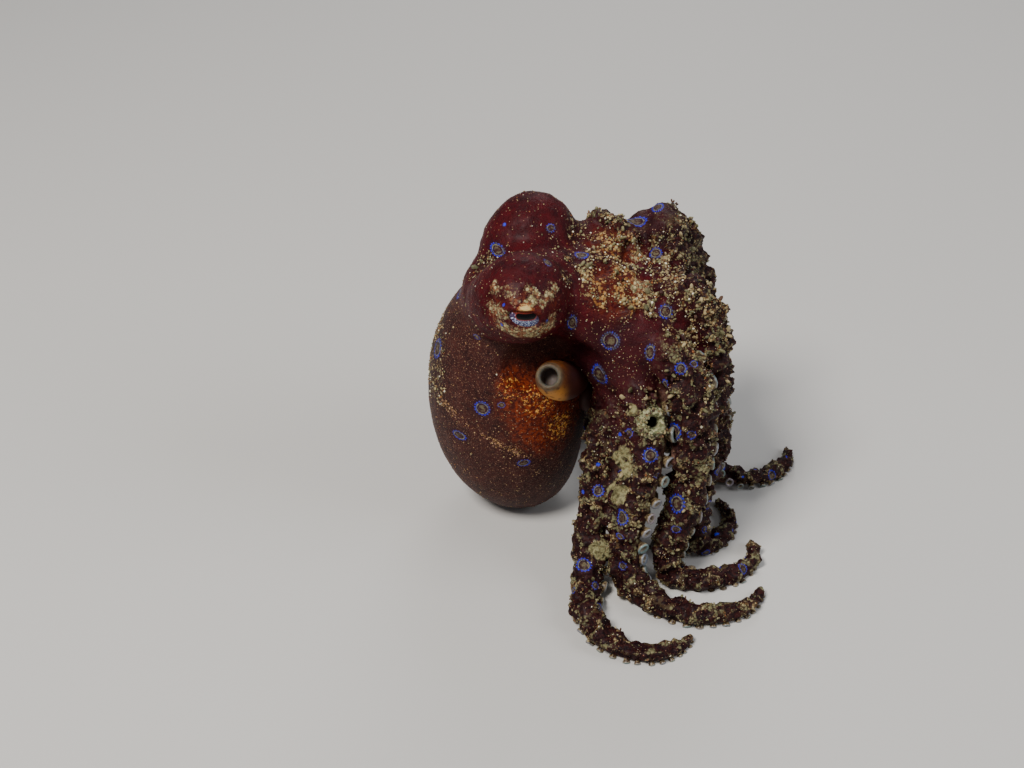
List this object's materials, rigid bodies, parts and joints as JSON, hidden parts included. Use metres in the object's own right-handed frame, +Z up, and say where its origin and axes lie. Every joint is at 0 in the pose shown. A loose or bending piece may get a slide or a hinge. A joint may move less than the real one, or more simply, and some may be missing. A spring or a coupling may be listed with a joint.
{
  "type": "octopus",
  "caption": "Small ringed octopus at rest: egg-shaped mantle hanging behind a head with two raised eyes, funnel at its side, webbed arms reaching down and curling on the ground.",
  "frame": {"origin": "middle of the bounding box at ground level", "axes": "+Z up, +X from the mantle towards the arms, the way the head faces, -Y towards the animal's right side, where the funnel shows"},
  "size_m": [0.067, 0.0776, 0.0577],
  "materials": {
    "mantle_skin": "wet, smooth, finely grained",
    "head_skin": "wet, smooth, with pale grains",
    "arm_skin": "wet, covered in small pale and golden grains",
    "funnel_skin": "wet, thin and translucent amber",
    "eye": "wet, glossy"
  },
  "bodies": {
    "root": {"arm_crown": "arm_skin", "arm_left_1_base": "arm_skin", "arm_left_1_middle": "arm_skin", "arm_left_1_tip": "arm_skin", "arm_left_2_base": "arm_skin", "arm_left_2_middle": "arm_skin", "arm_left_2_tip": "arm_skin", "arm_left_3_base": "arm_skin", "arm_left_3_middle": "arm_skin", "arm_left_3_tip": "arm_skin", "arm_left_4_base": "arm_skin", "arm_left_4_middle": "arm_skin", "arm_left_4_tip": "arm_skin", "arm_right_1_base": "arm_skin", "arm_right_1_middle": "arm_skin", "arm_right_1_tip": "arm_skin", "arm_right_2_base": "arm_skin", "arm_right_2_middle": "arm_skin", "arm_right_2_tip": "arm_skin", "arm_right_3_base": "arm_skin", "arm_right_3_middle": "arm_skin", "arm_right_3_tip": "arm_skin", "arm_right_4_base": "arm_skin", "arm_right_4_middle": "arm_skin", "arm_right_4_tip": "arm_skin", "eye_left": "eye", "eye_right": "eye", "funnel": "funnel_skin", "head": "head_skin", "mantle": "mantle_skin", "web_left_1_right_1": "arm_skin", "web_left_2_left_1": "arm_skin", "web_left_3_left_2": "arm_skin", "web_left_4_left_3": "arm_skin", "web_right_1_right_2": "arm_skin", "web_right_3_right_4": "arm_skin", "web_right_4_left_4": "arm_skin"}
  },
  "joints": []
}
